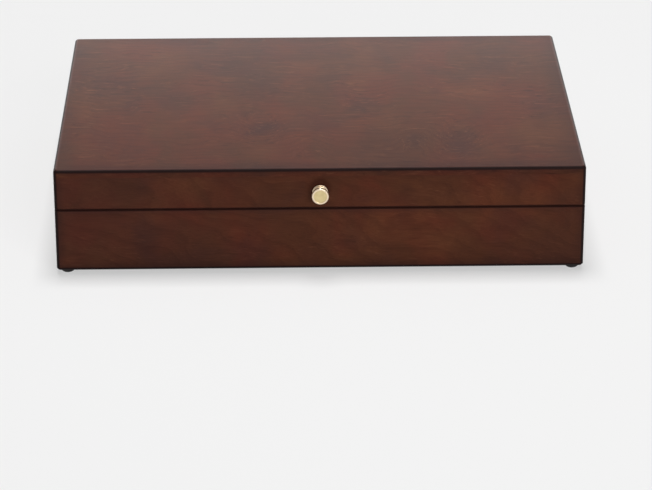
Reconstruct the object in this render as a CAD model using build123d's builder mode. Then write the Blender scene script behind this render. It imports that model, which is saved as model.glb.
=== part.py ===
from build123d import *
import os
from math import cos, radians

# Silverware chest: a shallow hardwood case, mitred at the corners and parted into a base and
# a lid, which opens on a continuous hinge with a built-in stop. The base holds a notched rail
# for stacked spoons and forks, and the lid a row of pockets for knife blades.
#
# Millimetres. X runs to the right, Y to the back and Z up. The origin is the centre of the
# closed chest's footprint, knob and hinge included, on the surface that the chest stands on.

# ---- Case ----
WIDTH = 388.0
DEPTH = 284.0
BASE_HEIGHT = 48.0  # walls of the base
LID_HEIGHT = 25.0  # walls of the lid, under its top board
WALL = 10.0  # thickness of every wall
TOP_THICKNESS = 6.0
PARTING_GAP = 0.2  # between the rims of the closed chest
CORNER_RADIUS = 3.0  # upright corners
TOP_EDGE_RADIUS = 2.5
BOTTOM_CHAMFER = 1.2
RIM_CHAMFER = 0.6  # outer arris of each rim

# ---- Bottom board and feet ----
BOTTOM_THICKNESS = 4.0
RABBET_WIDTH = 5.0
BOARD_FIT = 0.2  # play of the board in its rabbet, each side
FOOT_HEIGHT = 3.2
FOOT_DIAMETER = 11.4
SOLE_DIAMETER = 7.5
FOOT_INSET = 7.9  # foot's centre from the outside of the case

# ---- Cloth lining ----
LINER = 3.0  # cloth-covered boards round the base
LINER_FIT = 0.4  # between these boards and the walls, and so between lip and lid
LIP_HEIGHT = 4.0  # boards stand this far above the base's rim
FLOOR_PAD = 2.0
LID_LINER = 2.0  # cloth-covered strips round the lid
LID_PAD = 2.0
LID_REVEAL = 7.0  # bare wood between the lid's rim and its strips
CLOTH_ROUND = 1.2  # rounding where cloth turns over an edge
CLOTH_FIT = 0.3  # between cloth-covered pieces that butt
LID_CLOTH_ROUND = 0.7  # the same rounding on the lid's thinner strips

# ---- Flatware rail ----
RAIL_WIDTH = 32.0  # front to back
RAIL_SETBACK = 178.0  # from the front of the case to the rail
RAIL_DROP = 1.0  # rail's top below the base's rim
RAIL_ROUND = 2.0  # rounding of its long upper edges
NOTCH_COUNT = 9
NOTCH_PITCH = 37.0
NOTCH_WIDTH = 12.0
NOTCH_DEPTH = 30.0
NOTCH_CORNER = 4.0
NOTCH_FLARE = 2.5

# ---- Knife pockets ----
POCKET_COUNT = 12
POCKET_PITCH = 29.6
RIB_WIDTH = 5.0
BLADE_SPACE = 6.0  # between the lid's pad and the pocket's panel
PANEL_THICKNESS = 3.0
POCKET_REACH = 61.0  # from the back of the case to the pocket's mouth
POINT_STOP = 5.0  # strip that the blades' points rest against

# ---- Continuous stop hinge ----
HINGE_END = 10.0  # hinge's end from the outside of the case
HINGE_END_FIT = 0.2
KNUCKLE_COUNT = 13  # odd, so that the base leaf holds both ends
KNUCKLE_DIAMETER = 4.6
KNUCKLE_PLAY = 0.2  # between neighbouring knuckles
PIN_DIAMETER = 2.0
PIN_PLAY = 0.05  # radial
LEAF_THICKNESS = 1.0
LEAF_MARGIN = 0.5  # leaf's edge from the inside of the wall
BARREL_CLEARANCE = 0.2  # from the barrel to the case, to the other leaf and to its heel
HEEL_THICKNESS = 1.3
HEEL_SPAN = 50.0  # degrees round the barrel
OPEN_ANGLE = 98.0
STOP_PLAY = 1.5  # degrees left between the heels at the open angle

# ---- Knob and its screw ----
KNOB_RISE = 12.5  # knob's axis above the lid's rim
KNOB_REACH = 9.0
KNOB_HEAD_DIAMETER = 12.4
KNOB_HEAD_THICKNESS = 3.0
KNOB_FLANGE_DIAMETER = 11.4
KNOB_FLANGE_EDGE = 0.9
KNOB_WAIST_DIAMETER = 6.0
KNOB_WAIST_REACH = 3.4  # narrowest place from the lid's face
KNOB_CHAMFER = 0.6  # round the head's face
KNOB_RING = 1.5  # raised ring round the head's dished face
KNOB_DISH = 0.4
KNOB_BORE_DEPTH = 7.0
KNOB_SCREW_DIAMETER = 4.0
KNOB_SCREW_PLAY = 0.1  # radial
KNOB_SCREW_ENTRY = 6.0  # length of screw inside the knob
KNOB_SCREW_HEAD = 7.0
KNOB_SCREW_HEAD_HEIGHT = 2.0
KNOB_SCREW_SLOT = 1.0
WASHER_DIAMETER = 8.4
WASHER_THICKNESS = 0.8
COUNTERBORE_DIAMETER = 9.4
COUNTERBORE_DEPTH = 3.2

# ---- Places that follow from the sizes ----
HINGE_LENGTH = WIDTH - 2 * HINGE_END
AXIS_OFFSET = BARREL_CLEARANCE + KNUCKLE_DIAMETER / 2
HEEL_RADIUS = AXIS_OFFSET + HEEL_THICKNESS
HALF_STOP = (OPEN_ANGLE + STOP_PLAY) / 2
HINGE_REACH = AXIS_OFFSET + max(KNUCKLE_DIAMETER / 2, HEEL_RADIUS * cos(radians(HALF_STOP)))

FRONT = (KNOB_REACH - HINGE_REACH - DEPTH) / 2
REAR = FRONT + DEPTH
MIDDLE = FRONT + DEPTH / 2
INNER_WIDTH = WIDTH - 2 * WALL
INNER_DEPTH = DEPTH - 2 * WALL

BASE_RIM = FOOT_HEIGHT + BASE_HEIGHT
FLOOR = FOOT_HEIGHT + BOTTOM_THICKNESS + FLOOR_PAD
LIP_TOP = BASE_RIM + LIP_HEIGHT
LID_RIM = BASE_RIM + PARTING_GAP
LID_CEILING = LID_RIM + LID_HEIGHT
PAD_FACE = LID_CEILING - LID_PAD

LINED_WIDTH = INNER_WIDTH - 2 * (LINER_FIT + LINER)
LID_LINED_WIDTH = INNER_WIDTH - 2 * LID_LINER

AXIS_Y = REAR + AXIS_OFFSET
AXIS_Z = BASE_RIM + PARTING_GAP / 2
KNOB_Z = LID_RIM + KNOB_RISE

# Corners of the plan region that each mitred wall keeps.
MITRE_REACH = DEPTH / 2
LEFT_FRONT = (-WIDTH / 2, FRONT)
RIGHT_FRONT = (WIDTH / 2, FRONT)
LEFT_REAR = (-WIDTH / 2, REAR)
RIGHT_REAR = (WIDTH / 2, REAR)
LEFT_MEETING = (MITRE_REACH - WIDTH / 2, MIDDLE)
RIGHT_MEETING = (WIDTH / 2 - MITRE_REACH, MIDDLE)
MITRES = {
    "front": (LEFT_FRONT, RIGHT_FRONT, RIGHT_MEETING, LEFT_MEETING),
    "back": (LEFT_REAR, LEFT_MEETING, RIGHT_MEETING, RIGHT_REAR),
    "left": (LEFT_FRONT, LEFT_MEETING, LEFT_REAR),
    "right": (RIGHT_FRONT, RIGHT_REAR, RIGHT_MEETING),
}


def save(piece, label):
    """Name a finished piece and write it to its own file."""
    piece.part.label = label
    export_step(piece.part, f"parts/{label}.step")


def liner_places(thickness, fit):
    """Centre and size in plan of the four boards that line the case's walls."""
    across = INNER_WIDTH - 2 * fit
    along = INNER_DEPTH - 2 * (fit + thickness)
    x = INNER_WIDTH / 2 - fit - thickness / 2
    y = INNER_DEPTH / 2 - fit - thickness / 2
    return {
        "front": ((0, MIDDLE - y), (across, thickness)),
        "back": ((0, MIDDLE + y), (across, thickness)),
        "left": ((-x, MIDDLE), (thickness, along)),
        "right": ((x, MIDDLE), (thickness, along)),
    }


os.makedirs("parts", exist_ok=True)

# ---- Base walls: one ring, cut apart at its mitres ----
with BuildPart() as base_ring:
    with BuildSketch(Plane.XY.offset(FOOT_HEIGHT)):
        with Locations((0, MIDDLE)):
            RectangleRounded(WIDTH, DEPTH, CORNER_RADIUS)
            Rectangle(INNER_WIDTH, INNER_DEPTH, mode=Mode.SUBTRACT)
    extrude(amount=BASE_HEIGHT)
    chamfer(base_ring.faces().sort_by(Axis.Z)[-1].outer_wire().edges(), RIM_CHAMFER)
    chamfer(base_ring.faces().sort_by(Axis.Z)[0].outer_wire().edges(), BOTTOM_CHAMFER)
    # Rabbet for the bottom board.
    with BuildSketch(Plane.XY.offset(FOOT_HEIGHT)):
        with Locations((0, MIDDLE)):
            Rectangle(INNER_WIDTH + 2 * RABBET_WIDTH, INNER_DEPTH + 2 * RABBET_WIDTH)
    extrude(amount=BOTTOM_THICKNESS, mode=Mode.SUBTRACT)
    # Rebate for the hinge leaf.
    with Locations((0, REAR, BASE_RIM)):
        Box(HINGE_LENGTH + 2 * HINGE_END_FIT, 2 * WALL, 2 * LEAF_THICKNESS, mode=Mode.SUBTRACT)

for side, corners in MITRES.items():
    with BuildPart() as base_wall:
        add(base_ring.part)
        with BuildSketch(Plane.XY.offset(FOOT_HEIGHT)):
            with BuildLine():
                Polyline(*corners, close=True)
            make_face()
        extrude(amount=BASE_HEIGHT, mode=Mode.INTERSECT)
    save(base_wall, f"base_{side}")

with BuildPart() as base_bottom:
    with BuildSketch(Plane.XY.offset(FOOT_HEIGHT)):
        with Locations((0, MIDDLE)):
            Rectangle(
                INNER_WIDTH + 2 * (RABBET_WIDTH - BOARD_FIT),
                INNER_DEPTH + 2 * (RABBET_WIDTH - BOARD_FIT),
            )
    extrude(amount=BOTTOM_THICKNESS)
save(base_bottom, "base_bottom")

# ---- Feet: domed buttons under the corners ----
with BuildPart() as foot:
    with BuildSketch(Plane.XZ):
        with BuildLine():
            Line((0, 0), (0, FOOT_HEIGHT))
            Line((0, FOOT_HEIGHT), (FOOT_DIAMETER / 2, FOOT_HEIGHT))
            TangentArc(
                (FOOT_DIAMETER / 2, FOOT_HEIGHT), (SOLE_DIAMETER / 2, 0), tangent=(0, -1)
            )
            Line((SOLE_DIAMETER / 2, 0), (0, 0))
        make_face()
    revolve(axis=Axis.Z)

with BuildPart() as feet:
    with Locations((0, MIDDLE)):
        with GridLocations(WIDTH - 2 * FOOT_INSET, DEPTH - 2 * FOOT_INSET, 2, 2):
            add(foot.part)
save(feet, "feet")

# ---- Base lining: a floor pad, and boards whose upper edge makes the lip ----
with BuildPart() as floor_pad:
    with BuildSketch(Plane.XY.offset(FLOOR - FLOOR_PAD)):
        with Locations((0, MIDDLE)):
            Rectangle(INNER_WIDTH - 2 * LINER_FIT, INNER_DEPTH - 2 * LINER_FIT)
    extrude(amount=FLOOR_PAD)
save(floor_pad, "floor_pad")

for side, (centre, size) in liner_places(LINER, LINER_FIT).items():
    with BuildPart() as base_liner:
        with BuildSketch(Plane.XY.offset(FLOOR)):
            with Locations(centre):
                Rectangle(*size)
        extrude(amount=LIP_TOP - FLOOR)
        upper_edges = base_liner.faces().sort_by(Axis.Z)[-1].edges()
        fillet(upper_edges.sort_by(SortBy.LENGTH)[-2:], CLOTH_ROUND)
    save(base_liner, f"base_liner_{side}")

# ---- Flatware rail: a block with a flared notch for each stack ----
rail_top = BASE_RIM - RAIL_DROP
rail_front = FRONT + RAIL_SETBACK
rail_length = LINED_WIDTH - 2 * CLOTH_FIT

with BuildPart() as flatware_rail:
    with BuildSketch(Plane.XZ.offset(-rail_front)) as rail_face:
        with Locations((0, (FLOOR + rail_top) / 2)):
            Rectangle(rail_length, rail_top - FLOOR)
        with Locations((0, rail_top)):
            with GridLocations(NOTCH_PITCH, 0, NOTCH_COUNT, 1):
                Rectangle(NOTCH_WIDTH, 2 * NOTCH_DEPTH, mode=Mode.SUBTRACT)
        # Within the sketch, the block's height runs along Y.
        notch_sides = rail_face.edges().filter_by(Axis.Y).sort_by(Axis.X)[1:-1]
        fillet(notch_sides.vertices().group_by(Axis.Y)[0], NOTCH_CORNER)
        notch_sides = rail_face.edges().filter_by(Axis.Y).sort_by(Axis.X)[1:-1]
        fillet(notch_sides.vertices().group_by(Axis.Y)[-1], NOTCH_FLARE)
    extrude(amount=-RAIL_WIDTH)
    # The block's long upper edges are rounded, where the cloth turns down.
    with BuildSketch(Plane.YZ.offset(-rail_length / 2)) as rail_end:
        with Locations((rail_front + RAIL_WIDTH / 2, (FLOOR + rail_top) / 2)):
            Rectangle(RAIL_WIDTH, rail_top - FLOOR)
        fillet(rail_end.vertices().group_by(Axis.Y)[-1], RAIL_ROUND)
    extrude(amount=rail_length, mode=Mode.INTERSECT)
save(flatware_rail, "flatware_rail")

# ---- Lid walls: one ring, cut apart at its mitres ----
with BuildPart() as lid_ring:
    with BuildSketch(Plane.XY.offset(LID_RIM)):
        with Locations((0, MIDDLE)):
            RectangleRounded(WIDTH, DEPTH, CORNER_RADIUS)
            Rectangle(INNER_WIDTH, INNER_DEPTH, mode=Mode.SUBTRACT)
    extrude(amount=LID_HEIGHT)
    chamfer(lid_ring.faces().sort_by(Axis.Z)[0].outer_wire().edges(), RIM_CHAMFER)
    # Rebate for the hinge leaf.
    with Locations((0, REAR, LID_RIM)):
        Box(HINGE_LENGTH + 2 * HINGE_END_FIT, 2 * WALL, 2 * LEAF_THICKNESS, mode=Mode.SUBTRACT)
    # Hole for the knob's screw, counterbored from inside.
    with Locations(Plane(origin=(0, FRONT + WALL, KNOB_Z), z_dir=(0, 1, 0))):
        CounterBoreHole(
            KNOB_SCREW_DIAMETER / 2 + KNOB_SCREW_PLAY,
            COUNTERBORE_DIAMETER / 2,
            COUNTERBORE_DEPTH,
            WALL,
        )

for side, corners in MITRES.items():
    with BuildPart() as lid_wall:
        add(lid_ring.part)
        with BuildSketch(Plane.XY.offset(LID_RIM)):
            with BuildLine():
                Polyline(*corners, close=True)
            make_face()
        extrude(amount=LID_HEIGHT, mode=Mode.INTERSECT)
    save(lid_wall, f"lid_{side}")

with BuildPart() as lid_top:
    with BuildSketch(Plane.XY.offset(LID_CEILING)):
        with Locations((0, MIDDLE)):
            RectangleRounded(WIDTH, DEPTH, CORNER_RADIUS)
    extrude(amount=TOP_THICKNESS)
    fillet(lid_top.faces().sort_by(Axis.Z)[-1].edges(), TOP_EDGE_RADIUS)
save(lid_top, "lid_top")

# ---- Lid lining ----
with BuildPart() as lid_pad:
    with BuildSketch(Plane.XY.offset(PAD_FACE)):
        with Locations((0, MIDDLE)):
            Rectangle(INNER_WIDTH - 2 * CLOTH_FIT, INNER_DEPTH - 2 * CLOTH_FIT)
    extrude(amount=LID_PAD)
save(lid_pad, "lid_pad")

for side, (centre, size) in liner_places(LID_LINER, 0).items():
    with BuildPart() as lid_liner:
        with BuildSketch(Plane.XY.offset(LID_RIM + LID_REVEAL)):
            with Locations(centre):
                Rectangle(*size)
        extrude(amount=PAD_FACE - LID_RIM - LID_REVEAL)
        lower_edges = lid_liner.faces().sort_by(Axis.Z)[0].edges()
        fillet(lower_edges.sort_by(SortBy.LENGTH)[-2:], LID_CLOTH_ROUND)
    save(lid_liner, f"lid_liner_{side}")

# ---- Knife pockets: ribs and a point stop on the pad, and a panel over them ----
pocket_back = REAR - WALL - LID_LINER
pocket_mouth = REAR - POCKET_REACH
rib_face = PAD_FACE - BLADE_SPACE
panel_width = LID_LINED_WIDTH - 2 * CLOTH_FIT

with BuildPart() as point_stop:
    with BuildSketch(Plane.XY.offset(rib_face)):
        with Locations((0, pocket_back - POINT_STOP / 2)):
            Rectangle(panel_width, POINT_STOP)
    extrude(amount=BLADE_SPACE)
save(point_stop, "knife_point_stop")

with BuildPart() as pocket_ribs:
    rib_length = pocket_back - POINT_STOP - pocket_mouth
    with BuildSketch(Plane.XY.offset(rib_face)):
        with Locations((0, pocket_mouth + rib_length / 2)):
            with GridLocations(POCKET_PITCH, 0, POCKET_COUNT + 1, 1):
                Rectangle(RIB_WIDTH, rib_length)
    extrude(amount=BLADE_SPACE)
save(pocket_ribs, "knife_pocket_ribs")

with BuildPart() as pocket_panel:
    with BuildSketch(Plane.XY.offset(rib_face - PANEL_THICKNESS)):
        with Locations((0, (pocket_back + pocket_mouth) / 2)):
            Rectangle(panel_width, pocket_back - pocket_mouth)
    extrude(amount=PANEL_THICKNESS)
    mouth_face = pocket_panel.faces().sort_by(Axis.Y)[0]
    fillet(mouth_face.edges().filter_by(Axis.X), CLOTH_ROUND)
save(pocket_panel, "knife_pocket_panel")

# ---- Continuous stop hinge ----
# The leaves share the barrel knuckle by knuckle. Behind it each leaf carries a heel, a rib that
# runs over the other leaf's knuckles, and the two heels meet when the lid is fully open.
KNUCKLE_STEP = HINGE_LENGTH / KNUCKLE_COUNT
KNUCKLE_X = [(i - (KNUCKLE_COUNT - 1) / 2) * KNUCKLE_STEP for i in range(KNUCKLE_COUNT)]
LEAVES = {
    "base": (-1, KNUCKLE_X[1::2]),
    "lid": (1, KNUCKLE_X[0::2]),
}
leaf_edge = REAR - WALL + LEAF_MARGIN
leaf_middle = PARTING_GAP / 2 + LEAF_THICKNESS / 2

for leaf_name, (up, other_knuckles) in LEAVES.items():
    with BuildPart() as leaf:
        with BuildSketch(Plane.YZ.offset(-HINGE_LENGTH / 2)):
            with Locations(((leaf_edge + AXIS_Y) / 2, AXIS_Z + up * leaf_middle)):
                Rectangle(AXIS_Y - leaf_edge, LEAF_THICKNESS)
            with Locations((AXIS_Y, AXIS_Z)):
                Circle(KNUCKLE_DIAMETER / 2)
            with BuildLine():
                heel_arc = CenterArc(
                    (AXIS_Y, AXIS_Z), HEEL_RADIUS, up * HALF_STOP, up * HEEL_SPAN
                )
                Line((AXIS_Y, AXIS_Z), heel_arc @ 0)
                Line(heel_arc @ 1, (AXIS_Y, AXIS_Z))
            make_face()
            with Locations((AXIS_Y, AXIS_Z)):
                Circle(PIN_DIAMETER / 2 + PIN_PLAY, mode=Mode.SUBTRACT)
        extrude(amount=HINGE_LENGTH)
        # Room for the other leaf's knuckles, under the heel and up to the case.
        with Locations(*[(x, AXIS_Y, AXIS_Z) for x in other_knuckles]):
            Cylinder(
                AXIS_OFFSET,
                KNUCKLE_STEP + KNUCKLE_PLAY,
                rotation=(0, 90, 0),
                mode=Mode.SUBTRACT,
            )
    save(leaf, f"hinge_{leaf_name}_leaf")

with BuildPart() as hinge_pin:
    with Locations((0, AXIS_Y, AXIS_Z)):
        Cylinder(PIN_DIAMETER / 2, HINGE_LENGTH, rotation=(0, 90, 0))
save(hinge_pin, "hinge_pin")

# ---- Knob: a turned pull with a flange, a waist and a dished head ----
# Its profile is drawn outwards from the lid's face, with the radius upwards.
knob_plane = Plane(origin=(0, FRONT, KNOB_Z), x_dir=(0, -1, 0), z_dir=(-1, 0, 0))
knob_axis = Axis((0, FRONT, KNOB_Z), (0, -1, 0))
head_radius = KNOB_HEAD_DIAMETER / 2

with BuildPart() as knob:
    with BuildSketch(knob_plane):
        with BuildLine():
            Polyline(
                (0, 0),
                (0, KNOB_FLANGE_DIAMETER / 2),
                (KNOB_FLANGE_EDGE, KNOB_FLANGE_DIAMETER / 2),
                (KNOB_WAIST_REACH, KNOB_WAIST_DIAMETER / 2),
                (KNOB_REACH - KNOB_HEAD_THICKNESS, head_radius),
                (KNOB_REACH - KNOB_CHAMFER, head_radius),
                (KNOB_REACH, head_radius - KNOB_CHAMFER),
                (KNOB_REACH, head_radius - KNOB_RING),
                (KNOB_REACH - KNOB_DISH, head_radius - KNOB_RING),
                (KNOB_REACH - KNOB_DISH, 0),
                close=True,
            )
        make_face()
    revolve(axis=knob_axis)
    with Locations(Plane(origin=(0, FRONT, KNOB_Z), z_dir=(0, 1, 0))):
        Hole(KNOB_SCREW_DIAMETER / 2 + KNOB_SCREW_PLAY, KNOB_BORE_DEPTH)
save(knob, "knob")

# The screw's head and washer sit in the counterbore, behind the lid's lining.
washer_seat = FRONT + WALL - COUNTERBORE_DEPTH
head_seat = washer_seat + WASHER_THICKNESS

with BuildPart() as knob_washer:
    with BuildSketch(Plane.XZ.offset(-washer_seat)):
        with Locations((0, KNOB_Z)):
            Circle(WASHER_DIAMETER / 2)
            Circle(KNOB_SCREW_DIAMETER / 2 + KNOB_SCREW_PLAY, mode=Mode.SUBTRACT)
    extrude(amount=-WASHER_THICKNESS)
save(knob_washer, "knob_washer")

with BuildPart() as knob_screw:
    with BuildSketch(Plane.XZ.offset(-head_seat)):
        with Locations((0, KNOB_Z)):
            Circle(KNOB_SCREW_DIAMETER / 2)
    extrude(amount=head_seat - FRONT + KNOB_SCREW_ENTRY)
    with BuildSketch(Plane.XZ.offset(-head_seat)):
        with Locations((0, KNOB_Z)):
            Circle(KNOB_SCREW_HEAD / 2)
    extrude(amount=-KNOB_SCREW_HEAD_HEIGHT)
    with Locations((0, head_seat + KNOB_SCREW_HEAD_HEIGHT, KNOB_Z)):
        Box(KNOB_SCREW_HEAD, KNOB_SCREW_HEAD_HEIGHT, KNOB_SCREW_SLOT, mode=Mode.SUBTRACT)
save(knob_screw, "knob_screw")
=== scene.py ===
"""Looks of the silverware chest: stained wood, dark lining cloth and brass on the CAD frame.

Every length is in metres, in the CAD's frame: X to the right, Y to the back, Z up.
"""

import math

import bmesh
import bpy
from mathutils import Matrix, Vector, noise


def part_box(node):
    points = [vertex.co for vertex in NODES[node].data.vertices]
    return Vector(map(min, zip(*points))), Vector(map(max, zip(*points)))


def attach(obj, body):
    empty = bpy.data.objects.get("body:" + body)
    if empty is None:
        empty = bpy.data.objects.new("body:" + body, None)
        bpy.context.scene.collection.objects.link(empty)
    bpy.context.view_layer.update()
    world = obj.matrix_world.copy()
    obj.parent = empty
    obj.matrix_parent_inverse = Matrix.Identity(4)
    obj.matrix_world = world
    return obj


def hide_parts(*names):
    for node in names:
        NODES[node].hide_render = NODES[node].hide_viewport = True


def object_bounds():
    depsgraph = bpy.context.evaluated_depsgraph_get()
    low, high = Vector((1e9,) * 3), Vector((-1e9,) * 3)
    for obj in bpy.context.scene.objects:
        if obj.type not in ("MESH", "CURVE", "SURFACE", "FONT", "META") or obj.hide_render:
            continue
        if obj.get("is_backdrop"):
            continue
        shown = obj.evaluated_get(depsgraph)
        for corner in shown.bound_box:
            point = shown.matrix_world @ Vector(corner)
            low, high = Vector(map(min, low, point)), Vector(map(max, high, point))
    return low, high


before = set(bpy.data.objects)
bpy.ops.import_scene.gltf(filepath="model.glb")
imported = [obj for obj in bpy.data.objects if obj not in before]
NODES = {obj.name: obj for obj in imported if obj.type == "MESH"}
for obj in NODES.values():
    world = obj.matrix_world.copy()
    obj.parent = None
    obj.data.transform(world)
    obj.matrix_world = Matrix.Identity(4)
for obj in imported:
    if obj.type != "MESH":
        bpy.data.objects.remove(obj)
CAD_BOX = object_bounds()
MM = 0.001

# The case's outside and its parting, from the CAD nodes.
LEFT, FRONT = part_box("base_left")[0].x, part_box("base_front")[0].y
BOTTOM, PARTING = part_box("base_front")[0].z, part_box("base_front")[1].z
RIGHT, REAR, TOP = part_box("lid_top")[1]
LID_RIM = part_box("lid_front")[0].z

# ---- Camera: solved from the chest's corners and edges in the photograph ----
IMAGE_WIDTH = 652
FOCAL_PIXELS = 2983.8
AZIMUTH, ELEVATION, ROLL = (math.radians(a) for a in (1.035, 23.715, 0.108))
AIM = Vector((6.75, 2.02, -40.62)) * MM
AIM_DISTANCE = 2.3467


def make_camera():
    """The photograph's camera, aimed at AIM from AIM_DISTANCE."""
    level = math.cos(ELEVATION)
    forward = Vector((math.sin(AZIMUTH) * level, math.cos(AZIMUTH) * level, -math.sin(ELEVATION)))
    data = bpy.data.cameras.new("camera")
    data.sensor_width = 36.0
    data.lens = FOCAL_PIXELS * data.sensor_width / IMAGE_WIDTH
    camera = bpy.data.objects.new("camera", data)
    turn = forward.to_track_quat("-Z", "Y").to_matrix().to_4x4() @ Matrix.Rotation(-ROLL, 4, "Z")
    camera.matrix_world = Matrix.Translation(AIM - forward * AIM_DISTANCE) @ turn
    bpy.context.collection.objects.link(camera)
    bpy.context.scene.camera = camera


# ---- Node materials ----
class Shader:
    """A Principled node material in the making. Each call adds a node and returns its output."""

    def __init__(self, name, **constants):
        self.material = bpy.data.materials.new(name)
        self.material.use_nodes = True
        self.tree = self.material.node_tree
        self.bsdf = next(n for n in self.tree.nodes if n.type == "BSDF_PRINCIPLED")
        for socket, value in constants.items():
            self.bsdf.inputs[socket.replace("_", " ")].default_value = value
        coordinates = self.tree.nodes.new("ShaderNodeTexCoord")
        self.position = coordinates.outputs["Object"]

    def feed(self, node, inputs):
        for key, value in inputs.items():
            socket = node.inputs[key]
            if isinstance(value, bpy.types.NodeSocket):
                self.tree.links.new(value, socket)
            else:
                socket.default_value = value
        return node

    def add(self, kind, inputs=(), output=0, **settings):
        node = self.tree.nodes.new("ShaderNode" + kind)
        for key, value in settings.items():
            setattr(node, key, value)
        return self.feed(node, dict(inputs)).outputs[output]

    def math(self, operation, *values):
        return self.add("Math", enumerate(values), operation=operation)

    def total(self, *values):
        result = values[0]
        for value in values[1:]:
            result = self.math("ADD", result, value)
        return result

    def scaled(self, value, factor):
        return self.math("MULTIPLY", value, factor)

    def swing(self, value, reach):
        """A noise of 0 to 1 as a shift of about half of reach either way."""
        return self.scaled(self.math("SUBTRACT", value, 0.5), reach)

    def ramp(self, value, low, high, to_low=0.0, to_high=1.0):
        """value taken smoothly from low..high to to_low..to_high."""
        inputs = {0: value, 1: low, 2: high, 3: to_low, 4: to_high}
        return self.add("MapRange", inputs, interpolation_type="SMOOTHSTEP")

    def noise(self, vector, scale=1.0, detail=2.0, roughness=0.5, distortion=0.0):
        inputs = {
            "Vector": vector,
            "Scale": scale,
            "Detail": detail,
            "Roughness": roughness,
            "Distortion": distortion,
        }
        return self.add("TexNoise", inputs)

    def stretch(self, vector, scale, shift=(0, 0, 0)):
        return self.add("Mapping", {"Vector": vector, "Location": shift, "Scale": scale})

    def split(self, vector):
        node = self.tree.nodes.new("ShaderNodeSeparateXYZ")
        self.tree.links.new(vector, node.inputs[0])
        return tuple(node.outputs)

    def distance(self, vector, point):
        """How far vector is from point."""
        away = self.add("VectorMath", {0: vector, 1: point}, operation="SUBTRACT")
        return self.add("VectorMath", {0: away}, output=1, operation="LENGTH")

    def mix(self, factor, low, high):
        """Two colours, or outputs of colours, mixed."""
        node = self.tree.nodes.new("ShaderNodeMix")
        node.data_type = "RGBA"
        colours = [(*c, 1.0) if isinstance(c, tuple) and len(c) == 3 else c for c in (low, high)]
        sockets = [s for s in node.inputs if s.enabled]
        for socket, value in zip(sockets, (factor, *colours)):
            if isinstance(value, bpy.types.NodeSocket):
                self.tree.links.new(value, socket)
            else:
                socket.default_value = value
        return next(s for s in node.outputs if s.enabled)

    def finish(self, colour, roughness=None, height=None, depth=0.1 * MM):
        self.feed(self.bsdf, {"Base Color": colour})
        if roughness is not None:
            self.feed(self.bsdf, {"Roughness": roughness})
        if height is not None:
            bump = self.add("Bump", {"Height": height, "Distance": depth, "Strength": 1.0})
            self.feed(self.bsdf, {"Normal": bump})
        return self.material


def srgb(red, green, blue):
    """A display colour, 0 to 255, as the linear colour that shaders take."""
    return tuple(
        c / 12.92 if c <= 0.04045 else ((c + 0.055) / 1.055) ** 2.4
        for c in (red / 255, green / 255, blue / 255)
    )


WOOD_RED = srgb(92, 46, 31)
WOOD_BROWN = srgb(83, 47, 31)
WOOD_EMBER = srgb(105, 61, 38)
WOOD_DARK = srgb(55, 35, 35)
WOOD_SHADE = srgb(40, 25, 27)
WOOD_LINE = srgb(38, 18, 15)
# Painted shade on the top's front, and the knob's painted shadow and reflection.
WOOD_PAINTED_SHADE = srgb(42, 13, 12)
WOOD_ARRIS = srgb(27, 16, 16)
WOOD_GOLD = srgb(140, 88, 62)
# Colour of the painted highlight just inside the edges of the lid's top.
EDGE_HIGHLIGHT = srgb(112, 88, 86)
# How dark the knob's painted shadow and reflection is.
KNOB_SHADOW = 0.48


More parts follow.
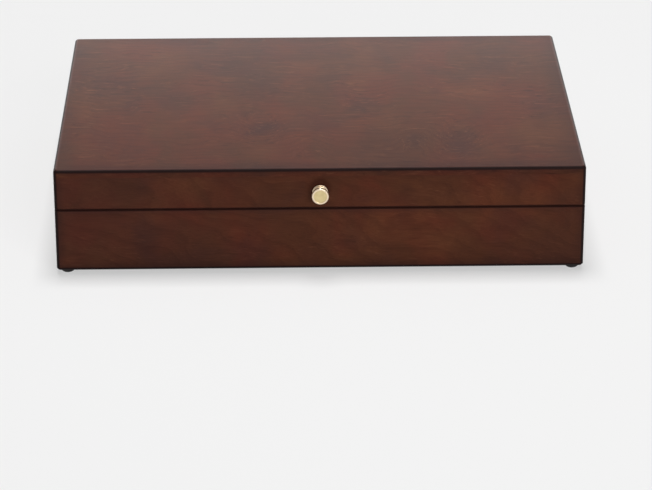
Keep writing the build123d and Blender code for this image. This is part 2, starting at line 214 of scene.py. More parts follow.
def wood(name, grain, seed, marks=(), curl=8.0, figure=0.6, tilt=0.05, left_shade=0.0,
         knob_shadow_at=None, lift=1.0):
    """Red-brown stained wood under satin lacquer.

    grain is the axis that its fibres follow, and tilt their slope to the board. curl is how far,
    in mm, they swing about, and figure how much their wisps show. marks are places, in mm along
    and across the board, where the figure bulges round a heart of some size and darkness.
    left_shade is how much painted shade darkens the board towards its left end, knob_shadow_at
    the middle of the knob's painted shadow and reflection, and lift how much paler the whole board
    is.
    """
    s = Shader(name, Specular_IOR_Level=0.05)
    x, y, z = s.split(s.position)
    axes = {"x": (x, y, z), "y": (y, x, z)}[grain]
    board = s.stretch(s.add("CombineXYZ", enumerate(axes)), (1 / MM,) * 3)
    shift = Vector((61.0, 37.0, 23.0)) * seed
    board = s.add("VectorMath", {0: board, 1: shift}, operation="ADD")
    along, across, through = s.split(board)

    # Slow wander and quicker curl of the fibres, so that no line runs dead straight.
    wander = s.swing(s.noise(s.stretch(board, (0.010, 0.020, 0.020))), 26.0)
    quick = s.swing(s.noise(s.stretch(board, (0.034, 0.028, 0.028)), detail=1.0), curl)
    wander = s.total(wander, quick)
    heart = curled = 0.0
    ragged = s.noise(s.stretch(board, (0.055, 0.085, 0.085), (5, 2, 60)), detail=3.0, roughness=0.6)
    ragged = s.swing(ragged, 2.4)
    for mark_along, mark_across, size, bulge, dark in marks:
        centre = Vector((mark_along, mark_across, TOP / MM)) + shift
        reach = Vector((1.0 / size, 0.5 / size, 1.0 / size))
        away = s.distance(s.stretch(board, reach), centre * reach)
        wander = s.total(wander, s.ramp(away, 0.0, 2.2, bulge, 0.0))
        away = s.total(away, ragged)
        heart = s.math("MAXIMUM", heart, s.ramp(away, 0.1, 1.5, dark, 0.0))
        curled = s.math("MAXIMUM", curled, s.ramp(away, 0.8, 2.8, 1.0, 0.0))
    sloped = s.total(s.scaled(along, tilt), wander)
    ring_at, deep = s.total(across, sloped), s.total(through, s.scaled(sloped, 0.7))
    flow = s.add("CombineXYZ", {0: along, 1: ring_at, 2: deep})

    # Growth rings: soft bands with a darker late edge.
    ring = s.total(
        s.scaled(ring_at, 0.12), s.scaled(deep, 0.06), s.noise(s.stretch(flow, (0.02, 0.1, 0.1)))
    )
    ring = s.math("FRACT", ring)
    late = s.math("MULTIPLY", s.ramp(ring, 0.40, 0.93), s.ramp(ring, 0.93, 1.0, 1.0, 0.0))

    # Wisps of dark and of golden fibre, fine fibre, and open pores, all drawn out along the grain.
    # The wisps gather in some places and hardly show in others.
    place = s.ramp(s.noise(s.stretch(board, (0.012, 0.014, 0.02), (3, 90, 8))), 0.38, 0.62)
    place = s.math("MAXIMUM", s.ramp(place, 0.0, 1.0, 0.35, 1.0), s.scaled(curled, 1.3))
    dark_wisp = s.noise(s.stretch(flow, (0.050, 0.42, 0.55)), detail=4.0, roughness=0.6)
    dark_wisp = s.ramp(dark_wisp, 0.53, 0.76)
    gold_wisp = s.stretch(flow, (0.042, 0.42, 0.60), (9, 5, 2))
    gold_wisp = s.ramp(s.noise(gold_wisp, detail=4.0, roughness=0.6), 0.53, 0.78)
    fibre = s.noise(s.stretch(flow, (0.06, 1.1, 1.3)), detail=3.0, roughness=0.6)
    pore = s.ramp(s.noise(s.stretch(flow, (0.14, 2.2, 2.6))), 0.60, 0.74)

    # The stain lies a little unevenly, in clouds of red, brown, dark and warm.
    cloud = s.noise(s.stretch(board, (0.022, 0.013, 0.022)), detail=3.0, distortion=0.4)
    shadow = s.stretch(board, (0.020, 0.014, 0.024), (40, 9, 3))
    shadow = s.noise(shadow, detail=3.0, distortion=0.4)
    ember = s.noise(s.stretch(board, (0.018, 0.013, 0.020), (7, 70, 11)), detail=3.0)
    colour = s.mix(s.ramp(cloud, 0.36, 0.64), WOOD_BROWN, WOOD_RED)
    colour = s.mix(s.ramp(ember, 0.48, 0.70, 0.0, 0.45), colour, WOOD_EMBER)
    shade = s.total(s.ramp(shadow, 0.46, 0.72, 0.0, 0.34), s.scaled(heart, 0.36))
    # Painted shade: the colour darkens towards the left end.
    if left_shade:
        shade = s.total(shade, s.ramp(x, LEFT, 0.0, left_shade, 0.0))
    colour = s.mix(shade, colour, WOOD_DARK)
    colour = s.mix(s.math("MULTIPLY", gold_wisp, s.scaled(place, 0.32 * figure)), colour, WOOD_GOLD)
    colour = s.mix(s.math("MULTIPLY", dark_wisp, s.scaled(place, 0.44 * figure)), colour, WOOD_LINE)
    colour = s.mix(s.ramp(fibre, 0.30, 0.70, 0.20, 0.0), colour, WOOD_LINE)
    colour = s.mix(s.scaled(late, 0.14), colour, WOOD_LINE)
    colour = s.mix(s.scaled(pore, 0.25), colour, WOOD_LINE)
    wear_and_highlight, shaded, painted_shade, dark, line = edges(s, x, y, z)
    colour = s.mix(shaded, colour, WOOD_SHADE)
    # Painted shadow and reflection of the knob: a dark patch round a point just above it.
    if knob_shadow_at:
        near = s.distance(s.stretch(s.position, (1, 0, 1)), knob_shadow_at * Vector((1, 0, 1)))
        painted_shade = s.ramp(near, 5.5 * MM, 10.0 * MM, KNOB_SHADOW, 0.0)
    # Painted shade on the top's front, and on the front boards the knob's painted shadow and
    # reflection.
    colour = s.mix(painted_shade, colour, WOOD_PAINTED_SHADE)
    # Painted highlight just inside the edges of the lid's top.
    colour = s.mix(wear_and_highlight, colour, EDGE_HIGHLIGHT)
    colour = s.mix(dark, colour, WOOD_ARRIS)
    colour = s.mix(line, colour, WOOD_LINE)
    if lift != 1.0:
        colour = s.add("HueSaturation", {"Color": colour, "Value": lift})
    roughness = s.total(0.40, s.scaled(fibre, 0.12))
    height = s.math("SUBTRACT", s.scaled(fibre, 0.35), pore)
    return s.finish(colour, roughness, height, depth=0.015 * MM)


def edges(s, x, y, z):
    """Five masks: a painted highlight just inside the edges of the lid's top; where the colour is
    shaded broadly darker near edges and beside the parting; painted shade on the top, darker
    towards its front; a dark band along the case's outer arrises; and a dark line where the case is
    parted."""
    side = s.math("SUBTRACT", RIGHT, s.math("ABSOLUTE", x))
    y_off = s.math("ABSOLUTE", s.math("SUBTRACT", y, (REAR + FRONT) / 2))
    end = s.math("SUBTRACT", (REAR - FRONT) / 2, y_off)
    above, below = s.math("SUBTRACT", TOP, z), s.math("SUBTRACT", z, BOTTOM)
    level = s.math("MINIMUM", above, below)
    # An arris is near where two of the three faces are.
    nearest = s.math("MINIMUM", s.math("MINIMUM", side, end), level)
    farthest = s.math("MAXIMUM", s.math("MAXIMUM", side, end), level)
    arris = s.math("SUBTRACT", s.math("SUBTRACT", s.total(side, end, level), nearest), farthest)
    border = s.math("MINIMUM", side, end)
    top_face = s.ramp(above, 0.05 * MM, 0.45 * MM, 1.0, 0.0)
    # A dark band along the case's outer arrises, off the top's face.
    dark = s.ramp(arris, 1.5 * MM, 2.9 * MM, 0.95, 0.0)
    dark = s.math("MULTIPLY", dark, s.math("SUBTRACT", 1.0, top_face))
    # Painted highlight: a pale line just inside the edges of the lid's top.
    wear_and_highlight = s.math("MULTIPLY", s.ramp(border, 1.9 * MM, 3.4 * MM, 0.22, 0.0), top_face)
    over = s.math("SUBTRACT", z, PARTING)
    parting = s.math("ABSOLUTE", over)
    outside = s.ramp(border, 0.0, 1.5 * MM, 1.0, 0.0)
    line = s.math("MULTIPLY", s.ramp(parting, 0.7 * MM, 1.5 * MM, 0.92, 0.0), outside)
    # Above the parting the darker shading reaches only a little way.
    near = s.math("MULTIPLY", arris, s.ramp(top_face, 0.0, 1.0, 1.0, 0.5))
    lid_side = s.total(s.scaled(over, 3.0), 3.0 * MM)
    base_side = s.total(s.scaled(over, -1.2), 2.0 * MM)
    near = s.math("MINIMUM", near, s.math("MAXIMUM", lid_side, base_side))
    shaded = s.ramp(near, 0.0, 10.0 * MM, 0.38, 0.0)
    # Painted shade: the top darkens towards its front, most just inside the front arris.
    inward = s.math("SUBTRACT", y, FRONT)
    painted_shade = s.total(
        s.ramp(inward, 3.0 * MM, 16.0 * MM, 0.10, 0.0), s.ramp(inward, 0.0, 120.0 * MM, 0.19, 0.0)
    )
    painted_shade = s.math("MULTIPLY", painted_shade, top_face)
    return wear_and_highlight, shaded, painted_shade, dark, line


def lining_cloth(name, seed):
    """Short-napped dark brown silver cloth, brushed a little this way and that."""
    s = Shader(name, Specular_IOR_Level=0.1, Sheen_Weight=0.35, Sheen_Roughness=0.45)
    s.bsdf.inputs["Sheen Tint"].default_value = (*srgb(184, 140, 122), 1.0)
    place = s.stretch(s.position, (1 / MM,) * 3, Vector((17.0, 9.0, 5.0)) * seed)
    brushed = s.noise(s.stretch(place, (0.03,) * 3), detail=3.0, distortion=0.6)
    nap = s.noise(place, 1.9, detail=3.0, roughness=0.7)
    fleck = s.noise(place, 0.6)
    colour = s.mix(s.ramp(brushed, 0.25, 0.75), srgb(54, 35, 31), srgb(65, 44, 39))
    colour = s.mix(s.ramp(nap, 0.3, 0.75, 0.35, 0.0), colour, srgb(28, 17, 15))
    colour = s.mix(s.ramp(fleck, 0.62, 0.8, 0.0, 0.16), colour, srgb(106, 82, 74))
    height = s.total(nap, s.scaled(fleck, 0.8))
    return s.finish(colour, s.ramp(nap, 0.2, 0.8, 0.82, 1.0), height, depth=0.12 * MM)


def thread(name):
    """Twisted sewing thread, a little paler than the cloth."""
    s = Shader(name, Specular_IOR_Level=0.3, Sheen_Weight=0.2)
    place = s.stretch(s.position, (1 / MM,) * 3)
    twist = s.noise(place, 3.0, distortion=0.8)
    colour = s.mix(s.ramp(twist, 0.35, 0.65), srgb(70, 48, 44), srgb(112, 84, 76))
    return s.finish(colour, s.ramp(twist, 0.3, 0.7, 0.5, 0.7), twist, depth=0.05 * MM)


def metal(name, colour, dull, roughness, depth=0.01 * MM, turned=None, rim_highlight=None):
    """Brass or steel with fine scratches. turned is the centre of lathe marks on a face across Y,
    and rim_highlight a paler colour, a painted highlight, on the ring outside that face and on the
    part behind the head."""
    s = Shader(name, Metallic=1.0)
    place = s.stretch(s.position, (1 / MM,) * 3)
    cloud = s.noise(place, 0.25, detail=3.0)
    scratch = s.noise(s.stretch(place, (0.4, 7.0, 7.0)), detail=3.0)
    tone = s.mix(s.ramp(cloud, 0.3, 0.75), colour, dull)
    if turned:
        radius = s.distance(s.stretch(s.position, (1, 0, 1)), turned * Vector((1, 0, 1)))
        scratch = s.noise(s.add("CombineXYZ", {0: radius}), 9.0 / MM, detail=3.0)
        outside = s.ramp(radius, KNOB_FACE - 0.1 * MM, KNOB_FACE + 0.2 * MM)
        behind = s.ramp(s.split(s.position)[1], turned.y - 3.0 * MM, turned.y - 2.0 * MM)
        # Painted highlight: the ring round the face and the part behind the head take the paler
        # colour.
        tone = s.mix(s.math("MAXIMUM", outside, behind), tone, rim_highlight)
    wear_and_highlight = s.total(roughness, s.swing(cloud, 0.15))
    return s.finish(tone, wear_and_highlight, scratch, depth=depth)


def rubber(name):
    """Black moulded rubber with a faint bloom."""
    s = Shader(name, Specular_IOR_Level=0.3)
    place = s.stretch(s.position, (1 / MM,) * 3)
    bloom = s.noise(place, 0.5, detail=3.0)
    colour = s.mix(s.ramp(bloom, 0.35, 0.75), srgb(24, 22, 22), srgb(40, 37, 36))
    return s.finish(colour, s.ramp(bloom, 0.3, 0.8, 0.5, 0.7), s.noise(place, 5.0), depth=0.03 * MM)


def dress(material, *names):
    """Gives CAD nodes a material, in every slot."""
    for name in names:
        node = NODES[name]
        if not node.material_slots:
            node.data.materials.append(material)
        for place in node.material_slots:
            place.material = material


# ---- Studio ----
FLOOR_SIZE = 14.0
FLOOR_GREY = 0.85
FLOOR_GLOW = 0.58  # share of the floor's paleness that takes no shadow
WORLD_STRENGTH = 0.15
WORLD_GLOSS = 0.4  # how much paler the world is where it is seen or mirrored
LAMPS = (  # name, place, width, depth, watts
    ("overhead", (0.0, 0.3, 3.0), 1.0, 1.0, 82.0),
    ("right_front", (0.8, -2.3, 1.0), 1.2, 1.2, 20.5),
    ("sheen", (0.0, 0.33, 0.135), 1.6, 0.1, 1.5),
)
LAMP_AIM = Vector((0, 0, 0.04))


def make_studio():
    """A pale floor, a broad lamp overhead, a weaker one at the right, a low reflector behind that
    shows only in gloss, and an even world."""
    bpy.ops.mesh.primitive_plane_add(size=FLOOR_SIZE)
    floor = bpy.context.object
    floor.name = "floor"
    s = Shader("studio_floor", Specular_IOR_Level=0.0, Roughness=1.0)
    grey = (FLOOR_GREY,) * 3 + (1.0,)
    s.finish(grey)
    ray = s.tree.nodes.new("ShaderNodeLightPath").outputs
    seen = s.math("MAXIMUM", ray["Is Camera Ray"], ray["Is Glossy Ray"])
    seen = s.math("MAXIMUM", seen, ray["Is Transmission Ray"])
    glow = s.add("Emission", {"Color": grey, "Strength": 1.0})
    shares = {0: s.scaled(seen, FLOOR_GLOW), 1: s.bsdf.outputs[0], 2: glow}
    surface = next(n for n in s.tree.nodes if n.type == "OUTPUT_MATERIAL").inputs["Surface"]
    s.tree.links.new(s.add("MixShader", shares), surface)
    floor.data.materials.append(s.material)
    floor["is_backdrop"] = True

    world = bpy.data.worlds.new("studio")
    bpy.context.scene.world = world
    world.use_nodes = True
    background = next(n for n in world.node_tree.nodes if n.type == "BACKGROUND")
    background.inputs["Color"].default_value = (1.0, 1.0, 1.0, 1.0)
    tree = world.node_tree
    ray = tree.nodes.new("ShaderNodeLightPath").outputs
    level = None
    for kind in ("Is Camera Ray", "Is Glossy Ray", "Is Transmission Ray"):
        share = tree.nodes.new("ShaderNodeMath")
        share.operation = "MULTIPLY_ADD"
        share.inputs[1].default_value = WORLD_GLOSS
        share.inputs[2].default_value = WORLD_STRENGTH
        tree.links.new(ray[kind], share.inputs[0])
        if level:
            tree.links.new(level, share.inputs[2])
        level = share.outputs[0]
    tree.links.new(level, background.inputs["Strength"])

    for name, place, width, depth, watts in LAMPS:
        data = bpy.data.lights.new(name, "AREA")
        data.shape = "RECTANGLE"
        data.size, data.size_y = width, depth
        data.energy = watts
        lamp = bpy.data.objects.new(name, data)
        turn = (LAMP_AIM - Vector(place)).to_track_quat("-Z", "Y").to_matrix().to_4x4()
        lamp.matrix_world = Matrix.Translation(place) @ turn
        lamp.visible_camera = False
        lamp.visible_diffuse = name != "sheen"
        bpy.context.collection.objects.link(lamp)


# ---- Meshes ----
def link(mesh, name, material, body, slot, *replaced):
    """Puts a finished mesh in the scene as one piece that rides on a body."""
    mesh.materials.clear()
    mesh.materials.append(material)
    for polygon in mesh.polygons:
        polygon.use_smooth = True
    piece = bpy.data.objects.new(name, mesh)
    bpy.context.collection.objects.link(piece)
    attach(piece, body)
    if replaced:
        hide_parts(*replaced)
    return piece


def closed_mesh(points, faces):
    """A mesh of a closed surface, its faces turned outwards."""
    mesh = bpy.data.meshes.new("surface")
    mesh.from_pydata(points, [], faces)
    work = bmesh.new()
    work.from_mesh(mesh)
    bmesh.ops.recalc_face_normals(work, faces=work.faces)
    work.to_mesh(mesh)
    work.free()
    return mesh


ROUND_STEPS = 3
WELD = 0.001 * MM  # corners closer than this are one


def ticks(low, high, radius, cell):
    """Places along one side of a board: close together round its edges, a cell apart between."""
    turn = [1 - math.tan(math.pi / 4 * (1 - i / ROUND_STEPS)) for i in range(ROUND_STEPS + 1)]
    count = max(1, round((high - low - 2 * radius) / cell))
    first, span = low + radius, high - low - 2 * radius
    middle = [first + span * i / count for i in range(1, count)]
    return [low + radius * t for t in turn] + middle + [high - radius * t for t in reversed(turn)]


def board_surface(low, high, radius, cells, shape, base=0):
    """Points and faces of a board with rounded edges. shape moves a point, given its normal."""
    places = [ticks(low[a], high[a], radius, cells[a]) for a in range(3)]
    last = [len(p) - 1 for p in places]
    core = [(low[a] + radius, high[a] - radius) for a in range(3)]
    points, faces, known = [], [], {}

    def corner(*index):
        if index not in known:
            raw = Vector(places[a][i] for a, i in enumerate(index))
            inner = Vector(min(max(raw[a], core[a][0]), core[a][1]) for a in range(3))
            normal = (raw - inner).normalized()
            known[index] = base + len(points)
            points.append(shape(inner + normal * radius, normal))
        return known[index]

    for a in range(3):
        b, c = (a + 1) % 3, (a + 2) % 3
        for end in (0, last[a]):
            for i in range(last[b]):
                for j in range(last[c]):
                    loop = []
                    for di, dj in ((0, 0), (1, 0), (1, 1), (0, 1)):
                        index = [0, 0, 0]
                        index[a], index[b], index[c] = end, i + di, j + dj
                        loop.append(corner(*index))
                    faces.append(loop)
    return points, faces


def lathe_surface(profile, segments, origin, axis, side, base=0):
    """Points and faces turned about axis from points of (distance along it, radius)."""
    across = axis.cross(side)
    points, faces, rings = [], [], []
    for reach, radius in profile:
        centre = origin + axis * reach
        index = base + len(points)
        if radius < 1e-9:
            rings.append([index])
            points.append(centre)
            continue
        rings.append(list(range(index, index + segments)))
        for i in range(segments):
            angle = 2 * math.pi * i / segments
            points.append(centre + (side * math.cos(angle) + across * math.sin(angle)) * radius)
    for first, second in zip(rings, rings[1:]):
        for i in range(segments):
            j = (i + 1) % segments
            loop = [first[i % len(first)], first[j % len(first)]]
            loop += [second[j % len(second)], second[i % len(second)]]
            faces.append(list(dict.fromkeys(loop)))
    return points, faces


def bend(start, control, end, steps=6):
    """Points along a curve from start to end that leans towards control."""
    result = []
    for i in range(steps + 1):
        t = i / steps
        u, v, w = (1 - t) ** 2, 2 * t * (1 - t), t * t
        result.append(tuple(u * a + v * b + w * c for a, b, c in zip(start, control, end)))
    return result


CLOTH_EASE = 0.16 * MM  # how far the cloth sinks here and there


def eased(point, normal):
    """Cloth over a board: it sinks a little here and there, and never stands proud."""
    slow = noise.noise(point / (17 * MM))
    quick = noise.noise(point / (5 * MM) + Vector((3.1, 7.7, 1.9)))
    return point - normal * CLOTH_EASE * (0.5 + 0.38 * slow + 0.12 * quick)


def smooth_step(value):
    value = min(max(value, 0.0), 1.0)
    return value * value * (3 - 2 * value)


def swell(value, low, high, margin):
    """1 well inside low..high, falling to 0 at either end."""
    return smooth_step(min(value - low, high - value) / margin)


def cloth_board(node, material, body, radius, cells=(3 * MM,) * 3, shape=eased):
    """Replaces a CAD board by one covered in cloth."""
    mesh = closed_mesh(*board_surface(*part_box(node), radius, cells, shape))
    return link(mesh, f"{node}_cloth", material, body, "cloth", node)


CROWN = 0.9 * MM  # how far the padding swells between the pieces that hold it down
CROWN_MARGIN = 16 * MM


def crowned(side, x_span, y_spans):
    """A shape for a pad that swells on one side, up (1) or down (-1), within each span of y."""

    def shape(point, normal):
        rise = 0.0
        if normal.z * side > 0.5:
            over = max(swell(point.y, *span, CROWN_MARGIN) for span in y_spans)
            dimple = 0.85 + 0.15 * noise.noise(point / (34 * MM))
            rise = CROWN * over * swell(point.x, *x_span, CROWN_MARGIN) * dimple
        return eased(point, normal) + Vector((0, 0, side * rise))

    return shape


def make_pads(material):
    """The padded floor of the base and the padded ceiling of the lid."""
    rail_low, rail_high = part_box("flatware_rail")
    x_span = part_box("base_liner_left")[1].x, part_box("base_liner_right")[0].x
    bays = (
        (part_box("base_liner_front")[1].y, rail_low.y),
        (rail_high.y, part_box("base_liner_back")[0].y),
    )
    cells = (4 * MM, 4 * MM, 1 * MM)
    floor = cloth_board("floor_pad", material, "base", 0.6 * MM, cells, crowned(1, x_span, bays))
    x_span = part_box("lid_liner_left")[1].x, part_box("lid_liner_right")[0].x
    bays = ((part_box("lid_liner_front")[1].y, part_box("knife_pocket_panel")[0].y),)
    ceiling = cloth_board("lid_pad", material, "lid", 0.6 * MM, cells, crowned(-1, x_span, bays))


RAIL_VOXEL = 1.1 * MM
RAIL_ROUNDS = 9


def make_rail(material):
    """The notched foam rail under its glued cloth: the CAD solid, remeshed evenly and smoothed."""
    work = bmesh.new()
    work.from_mesh(NODES["flatware_rail"].data)
    bmesh.ops.remove_doubles(work, verts=work.verts, dist=WELD)
    mesh = bpy.data.meshes.new("rail")
    work.to_mesh(mesh)
    work.free()
    rail = bpy.data.objects.new("rail_blank", mesh)
    bpy.context.collection.objects.link(rail)
    remesh = rail.modifiers.new("remesh", "REMESH")
    remesh.mode = "VOXEL"
    remesh.voxel_size = RAIL_VOXEL
    smooth = rail.modifiers.new("smooth", "SMOOTH")
    smooth.factor, smooth.iterations = 0.5, RAIL_ROUNDS
    graph = bpy.context.evaluated_depsgraph_get()
    soft = bpy.data.meshes.new_from_object(rail.evaluated_get(graph))
    bpy.data.objects.remove(rail)
    for vertex, normal in zip(soft.vertices, [v.normal.copy() for v in soft.vertices]):
        vertex.co = eased(vertex.co, normal)
    piece = link(soft, "flatware_rail_cloth", material, "base", "cloth", "flatware_rail")


POCKET_COUNT = 12
RIB_WIDTH = 5 * MM
QUILT_DEPTH = 0.8 * MM
QUILT_WIDTH = 1.9 * MM
HEM = 4.5 * MM  # from the pockets' mouth to its row of stitches
STITCH_LENGTH, STITCH_RADIUS = 2.1 * MM, 0.26 * MM
STITCH_STEP = 3.0 * MM
STITCH_SIDES, STITCH_RINGS = 8, 6
STITCH_LIFT = 0.12 * MM  # the middle of the thread over the cloth
SEAM_END = 1.5 * MM  # from a seam's last stitch to the panel's end
HEM_ENDS = 4 * MM  # both ends of the hem that take no stitch


def make_pockets(material, thread_material):
    """The knife pockets: a quilted front over ribs, sewn down on each rib and along its hem."""
    panel_low, panel_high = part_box("knife_pocket_panel")
    rib_low, rib_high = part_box("knife_pocket_ribs")
    step = (rib_high.x - rib_low.x - RIB_WIDTH) / POCKET_COUNT
    seams = [rib_low.x + RIB_WIDTH / 2 + i * step for i in range(POCKET_COUNT + 1)]
    hem = panel_low.y + HEM

    def sunk(x, y):
        """How far the sewing draws the cloth in at a place."""
        near = min(abs(x - seam) for seam in seams) / QUILT_WIDTH
        near_hem = abs(y - hem) / QUILT_WIDTH
        return QUILT_DEPTH * max(math.exp(-near * near), math.exp(-near_hem * near_hem))

    def quilted(point, normal):
        point = eased(point, normal)
        if normal.z < -0.5:
            point.z += sunk(point.x, point.y)
        return point

    cells = (1.1 * MM, 1.1 * MM, 1 * MM)
    cloth_board("knife_pocket_panel", material, "lid", 1.2 * MM, cells, quilted)
    cloth_board("knife_point_stop", material, "lid", 1.0 * MM)
    points, faces = [], []
    for seam in seams:
        low = Vector((seam - RIB_WIDTH / 2, rib_low.y, rib_low.z))
        high = Vector((seam + RIB_WIDTH / 2, rib_high.y, rib_high.z))
        more = board_surface(low, high, 1.0 * MM, (2 * MM,) * 3, eased, base=len(points))
        points, faces = points + more[0], faces + more[1]
    ribs = closed_mesh(points, faces)
    link(ribs, "knife_pocket_ribs_cloth", material, "lid", "cloth", "knife_pocket_ribs")

    places = []
    run = Vector((0, 1, 0))
    for seam in seams:
        start = Vector((seam, hem + STITCH_STEP, 0))
        count = int((panel_high.y - start.y - SEAM_END) / STITCH_STEP)
        places += [(start + run * STITCH_STEP * (i + 0.5), run) for i in range(count)]
    run = Vector((1, 0, 0))
    count = int((panel_high.x - panel_low.x - HEM_ENDS) / STITCH_STEP)
    for i in range(count):
        places.append((Vector(((i - (count - 1) / 2) * STITCH_STEP, hem, 0)), run))
    turns = [math.pi * i / STITCH_RINGS for i in range(STITCH_RINGS + 1)]
    profile = [(-math.cos(t) * STITCH_LENGTH / 2, math.sin(t) * STITCH_RADIUS) for t in turns]
    points, faces, up = [], [], Vector((0, 0, 1))
    for place, run in places:
        place.z = panel_low.z + sunk(place.x, place.y) + STITCH_LIFT
        more = lathe_surface(profile, STITCH_SIDES, place, run, up, base=len(points))
        points, faces = points + more[0], faces + more[1]
    stitches = closed_mesh(points, faces)
    link(stitches, "knife_pocket_stitching", thread_material, "lid", "cloth")


KNOB_EDGE = 0.9 * MM  # its flange
KNOB_FLANGE = 5.7 * MM
KNOB_WAIST, KNOB_WAIST_REACH = 3.0 * MM, 3.2 * MM
KNOB_HEAD_BACK = 6.0 * MM
KNOB_FACE = 4.7 * MM  # the dish's radius, inside the ring
KNOB_DISH = 0.4 * MM


def make_knob(material):
    """The turned knob: a rounded flange, a coved waist and a head with a ring round its dish."""
    low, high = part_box("knob")
    head, reach = (high.x - low.x) / 2, high.y - low.y
    soft = 0.3 * MM
    profile = [(0.0, 0.0)]
    profile += bend((0.0, KNOB_FLANGE - soft), (0.0, KNOB_FLANGE), (soft, KNOB_FLANGE))
    profile += bend(
        (KNOB_EDGE - soft, KNOB_FLANGE), (KNOB_EDGE, KNOB_FLANGE), (KNOB_EDGE, KNOB_FLANGE - soft)
    )
    profile += bend(
        (KNOB_EDGE + 0.05 * MM, KNOB_FLANGE - 2 * soft),
        (KNOB_EDGE + 0.4 * MM, KNOB_WAIST),
        (KNOB_WAIST_REACH, KNOB_WAIST),
        12,
    )
    profile += bend(
        (KNOB_WAIST_REACH, KNOB_WAIST),
        (KNOB_HEAD_BACK - 0.5 * MM, KNOB_WAIST + 0.3 * MM),
        (KNOB_HEAD_BACK, head - 2 * soft),
        12,
    )[1:]
    profile += bend(
        (KNOB_HEAD_BACK, head - soft), (KNOB_HEAD_BACK, head), (KNOB_HEAD_BACK + soft, head)
    )
    profile += bend((reach - 0.8 * MM, head), (reach, head), (reach, head - 0.7 * MM), 10)
    dish = reach - KNOB_DISH
    profile += bend((reach, KNOB_FACE + 0.35 * MM), (reach, KNOB_FACE), (dish, KNOB_FACE), 8)
    profile += [(dish, KNOB_FACE - 0.05 * MM), (dish, 0.0)]
    origin = Vector(((low.x + high.x) / 2, high.y, (low.z + high.z) / 2))
    surface = lathe_surface(profile, 96, origin, Vector((0, -1, 0)), Vector((0, 0, 1)))
    mesh = closed_mesh(*surface)
    link(mesh, "knob_turned", material, "lid", "knob_metal", "knob")
    flat_faces(mesh, 40)


SCREW_END = 15 * MM  # first and last screw from the leaf's ends
SCREW_HEAD, SCREW_SHANK = 2.5 * MM, 1.4 * MM  # radii
SCREW_LENGTH, SCREW_POINT = 9 * MM, 3 * MM
SCREW_SINK = 0.06 * MM  # head's face below the leaf's
SCREW_CONE = 1.1 * MM
SLOT_SIZE = (7 * MM, 0.8 * MM, 1.1 * MM)
SLOT_TURNS = (14, 62, 118, 35, 95, 152, 78, 5)  # degrees that each slot was left at
HOLE_OVER = 0.5 * MM  # how far the drill stands over the leaf
LEAF = 1.0 * MM


def make_leaf(node, body, facing, leaf_material, screw_material):
    """A hinge leaf with countersunk holes and its slotted screws. facing is 1 where the leaf's
    screws are driven from above, -1 from below."""
    low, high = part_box(node)
    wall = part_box("base_back")[0].y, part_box("base_back")[1].y
    face = PARTING if facing > 0 else LID_RIM
    run = high.x - low.x - 2 * SCREW_END
    axis, side = Vector((0, 0, -facing)), Vector((1, 0, 0))
    drill = (
        (-HOLE_OVER, 0.0),
        (-HOLE_OVER, SCREW_HEAD + 0.15 * MM),
        (0.0, SCREW_HEAD + 0.1 * MM),
        (LEAF * 1.5, SCREW_SHANK),
        (LEAF * 1.5, 0.0),
    )
    screw = (
        (SCREW_SINK, 0.0),
        (SCREW_SINK, SCREW_HEAD - 0.1 * MM),
        (SCREW_SINK + 0.1 * MM, SCREW_HEAD),
        (SCREW_SINK + SCREW_CONE, SCREW_SHANK),
        (SCREW_LENGTH - SCREW_POINT, SCREW_SHANK),
        (SCREW_LENGTH, 0.0),
    )
    holes, screws, slots = bmesh.new(), bmesh.new(), bmesh.new()
    for i, turn in enumerate(SLOT_TURNS):
        x = low.x + SCREW_END + run * i / (len(SLOT_TURNS) - 1)
        place = Vector((x, (wall[0] + wall[1]) / 2, face))
        for work, profile in ((holes, drill), (screws, screw)):
            work.from_mesh(closed_mesh(*lathe_surface(profile, 32, place, axis, side)))
        made = bmesh.ops.create_cube(slots, size=1.0)
        turned = Matrix.Rotation(math.radians(turn), 4, "Z") @ Matrix.Diagonal((*SLOT_SIZE, 1.0))
        bmesh.ops.transform(slots, matrix=Matrix.Translation(place) @ turned, verts=made["verts"])
    blank = bmesh.new()
    blank.from_mesh(NODES[node].data)
    bmesh.ops.remove_doubles(blank, verts=blank.verts, dist=WELD)
    leaf = cut(blank, holes)
    link(leaf, f"{node}_drilled", leaf_material, body, "hinge_metal", node)
    flat_faces(leaf)
    heads = cut(screws, slots)
    link(heads, f"{node}_screws", screw_material, body, "hinge_metal")
    flat_faces(heads)


def flat_faces(mesh, limit=30):
    """Keeps arrises sharper than limit degrees crisp."""
    mesh.set_sharp_from_angle(angle=math.radians(limit))


def cut(solid, tool):
    """The first of two bmeshes less the second, as a mesh."""
    made = []
    for work in (solid, tool):
        mesh = bpy.data.meshes.new("cut")
        work.to_mesh(mesh)
        work.free()
        made.append(bpy.data.objects.new("cut", mesh))
        bpy.context.collection.objects.link(made[-1])
    boolean = made[0].modifiers.new("cut", "BOOLEAN")
    boolean.operation, boolean.solver, boolean.object = "DIFFERENCE", "EXACT", made[1]
    graph = bpy.context.evaluated_depsgraph_get()
    result = bpy.data.meshes.new_from_object(made[0].evaluated_get(graph))
    for blank in made:
        bpy.data.objects.remove(blank)
    return result


make_camera()
make_studio()

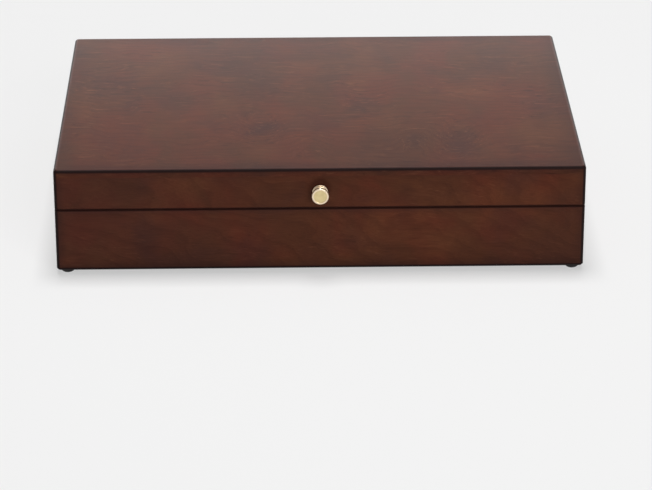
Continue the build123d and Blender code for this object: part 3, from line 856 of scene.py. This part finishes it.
# ---- Wood ----
LID_MARKS = (  # along, across, size, bulge, darkness
    (-43, -62, 12, 16.0, 1.0),
    (72, -86, 8, -9.0, 1.0),
    (104, -86, 13, 18.0, 1.0),
    (36, -10, 13, 5.0, 1.0),
    (171, -9, 15, 5.0, 1.0),
    (-164, 29, 20, 4.0, 1.0),
    (-143, -8, 11, 4.0, 1.0),
    (-5, -95, 9, -12.0, 0.0),
)
dress(wood("lid_top_wood", "x", 1.0, LID_MARKS, curl=14.0, figure=1.3), "lid_top")
knob_low, knob_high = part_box("knob")
# The middle of the knob's painted shadow and reflection, just above the knob.
knob_shadow_at = (knob_low + knob_high) / 2 + Vector((0, 0, 3.0 * MM))
front_wood = wood("front_wood", "x", 2.3, tilt=0.2, left_shade=0.3, knob_shadow_at=knob_shadow_at)
dress(front_wood, "lid_front", "base_front")
dress(wood("back_wood", "x", 3.7), "lid_back", "base_back")
dress(wood("left_wood", "y", 4.9), "lid_left", "base_left")
dress(wood("right_wood", "y", 6.1), "lid_right", "base_right")
dress(wood("bottom_wood", "x", 7.7, lift=1.3), "base_bottom")

# ---- Feet, knob, hinge and fixings ----
dress(rubber("foot_rubber"), "feet")
knob_brass = metal(
    "knob_brass",
    srgb(224, 204, 154),
    srgb(214, 193, 144),
    0.33,
    depth=0.004 * MM,
    turned=(knob_low + knob_high) / 2,
    # Paler colour of the painted highlight on the knob's ring and flange.
    rim_highlight=srgb(244, 222, 192),
)
make_knob(knob_brass)
hinge_brass = metal("hinge_brass", srgb(136, 107, 70), srgb(114, 88, 58), 0.44)
screw_brass = metal("screw_brass", srgb(180, 148, 102), srgb(140, 112, 76), 0.36)
make_leaf("hinge_base_leaf", "base", 1, hinge_brass, screw_brass)
make_leaf("hinge_lid_leaf", "lid", -1, hinge_brass, screw_brass)
dress(hinge_brass, "hinge_pin")
steel = metal("fixing_steel", srgb(190, 188, 182), srgb(150, 148, 142), 0.35)
dress(steel, "knob_screw", "knob_washer")

# ---- Lining ----
cloth = lining_cloth("lining_cloth", 1.0)
for side in ("front", "back", "left", "right"):
    cloth_board(f"base_liner_{side}", cloth, "base", 1.2 * MM)
    cloth_board(f"lid_liner_{side}", cloth, "lid", 0.8 * MM)
make_pads(cloth)
make_rail(cloth)
make_pockets(cloth, thread("lining_thread"))

scene = bpy.context.scene
scene.view_settings.view_transform = "Standard"

boxes = {"cad": CAD_BOX, "visual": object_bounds()}
{k: [list(corner) for corner in box] for k, box in boxes.items()}
